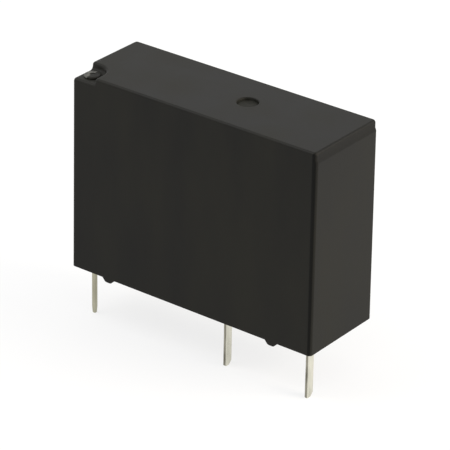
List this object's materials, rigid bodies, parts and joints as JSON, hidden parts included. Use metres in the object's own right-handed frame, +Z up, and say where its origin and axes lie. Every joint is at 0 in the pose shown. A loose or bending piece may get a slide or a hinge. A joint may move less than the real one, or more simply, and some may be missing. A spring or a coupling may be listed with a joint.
{
  "type": "pcb power relay",
  "caption": "Slim black relay for a circuit board: sealed moulded case on flat and square solder pins, with a coil, armature, card and contact spring inside.",
  "frame": {"origin": "middle of the case in plan, on the board's surface, where the standoff feet rest", "axes": "+X along the case towards the contact end, +Y across it towards the rear coil pin, +Z up from the board"},
  "size_m": [0.0206, 0.007, 0.0184],
  "materials": {
    "case_plastic": "black moulded plastic, fine satin texture",
    "base_plastic": "black moulded plastic",
    "sealing_epoxy": "black potting resin",
    "bobbin_plastic": "dark moulded plastic",
    "enamelled_copper": "enamelled wire",
    "soft_iron": "nickel plated soft iron",
    "spring_bronze": "rolled spring bronze",
    "rivet_brass": "plain brass",
    "card_plastic": "natural moulded plastic",
    "contact_silver": "silver alloy",
    "tinned_terminal": "tinned copper alloy",
    "solder": "solder"
  },
  "bodies": {
    "housing": {"case": "case_plastic", "base": "base_plastic", "sealing_resin": "sealing_epoxy", "coil_bobbin": "bobbin_plastic", "coil_winding": "enamelled_copper", "core": "soft_iron", "yoke": "soft_iron", "hinge_spring": "spring_bronze", "hinge_rivet": "rivet_brass", "fixed_contact": "contact_silver", "common_terminal": "tinned_terminal", "fixed_terminal": "tinned_terminal", "coil_terminal_front": "tinned_terminal", "coil_terminal_rear": "tinned_terminal", "coil_lead_front": "enamelled_copper", "coil_lead_rear": "enamelled_copper", "solder_joint_front": "solder", "solder_joint_rear": "solder"},
    "armature": {"armature": "soft_iron"},
    "card": {"actuator_card": "card_plastic"},
    "contact_leaf": {"moving_spring": "spring_bronze", "moving_contact": "contact_silver", "spring_rivets": "rivet_brass"}
  },
  "joints": [
    {"name": "armature_tilt", "type": "hinge", "parent": "housing", "child": "armature", "pos_m": [0.00364, 0, 0.0094], "axis": [0, 1, 0], "range_deg": [0, 8], "stiffness_Nm_per_rad": 0.0005, "springref_deg": -17.19},
    {"name": "card_slide", "type": "slide", "parent": "housing", "child": "card", "axis": [1, 0, 0], "range_m": [0, 0.00044331]},
    {"name": "contact_flex", "type": "hinge", "parent": "housing", "child": "contact_leaf", "pos_m": [0.00798, 0, 0.0032], "axis": [0, 1, 0], "range_deg": [0, 2.71]}
  ],
  "couplings": [
    {"joint": "armature_tilt", "follows": "card_slide", "rad_per_m": 314.96},
    {"joint": "contact_flex", "follows": "card_slide", "rad_per_m": 106.67}
  ]
}
